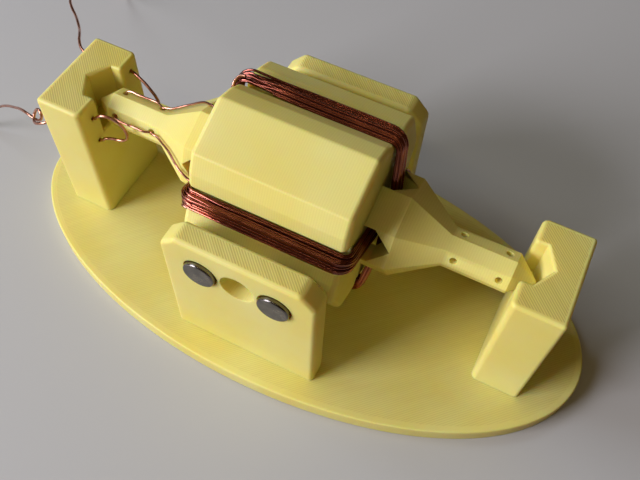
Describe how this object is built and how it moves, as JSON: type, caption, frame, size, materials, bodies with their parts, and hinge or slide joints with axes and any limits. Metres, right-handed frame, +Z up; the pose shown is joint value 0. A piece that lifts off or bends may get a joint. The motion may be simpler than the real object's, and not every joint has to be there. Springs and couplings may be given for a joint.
{
  "type": "demonstration electric motor",
  "caption": "Printed teaching motor: a wound rotor turns on pointed ends between magnet plates, with wire brushes on one bearing post and loose leads.",
  "frame": {"origin": "under the middle of the base, on the surface that it stands on", "axes": "+X along the rotor from the commutator post to the plain post, -Y is the front, +Z is up"},
  "size_m": [0.1527, 0.0898, 0.0463],
  "materials": {
    "printed_plastic": "pale yellow printed plastic with fine layer lines and a slight sheen",
    "nickel": "nickel plating, slightly worn",
    "lead_wire": "enamelled copper wire, bent by hand",
    "winding_wire": "dark red-brown enamelled copper winding wire"
  },
  "bodies": {
    "stand": {"base_plate": "printed_plastic", "commutator_post": "printed_plastic", "end_post": "printed_plastic", "front_magnet_plate": "printed_plastic", "rear_magnet_plate": "printed_plastic", "front_left_magnet": "nickel", "front_right_magnet": "nickel", "rear_left_magnet": "nickel", "rear_right_magnet": "nickel", "front_brush": "lead_wire", "rear_brush": "lead_wire", "front_lead": "lead_wire", "rear_lead": "lead_wire", "front_lead_coil": "lead_wire", "rear_lead_coil": "lead_wire"},
    "rotor": {"armature_core": "printed_plastic", "top_pole_shoe": "printed_plastic", "front_pole_shoe": "printed_plastic", "bottom_pole_shoe": "printed_plastic", "rear_pole_shoe": "printed_plastic", "commutator_shaft": "printed_plastic", "drive_shaft": "printed_plastic", "winding_a": "winding_wire", "winding_b": "winding_wire"}
  },
  "joints": [
    {"name": "rotor_spin", "type": "hinge", "parent": "stand", "child": "rotor", "pos_m": [0, 0, 0.0281], "axis": [1, 0, 0], "continuous": true}
  ]
}
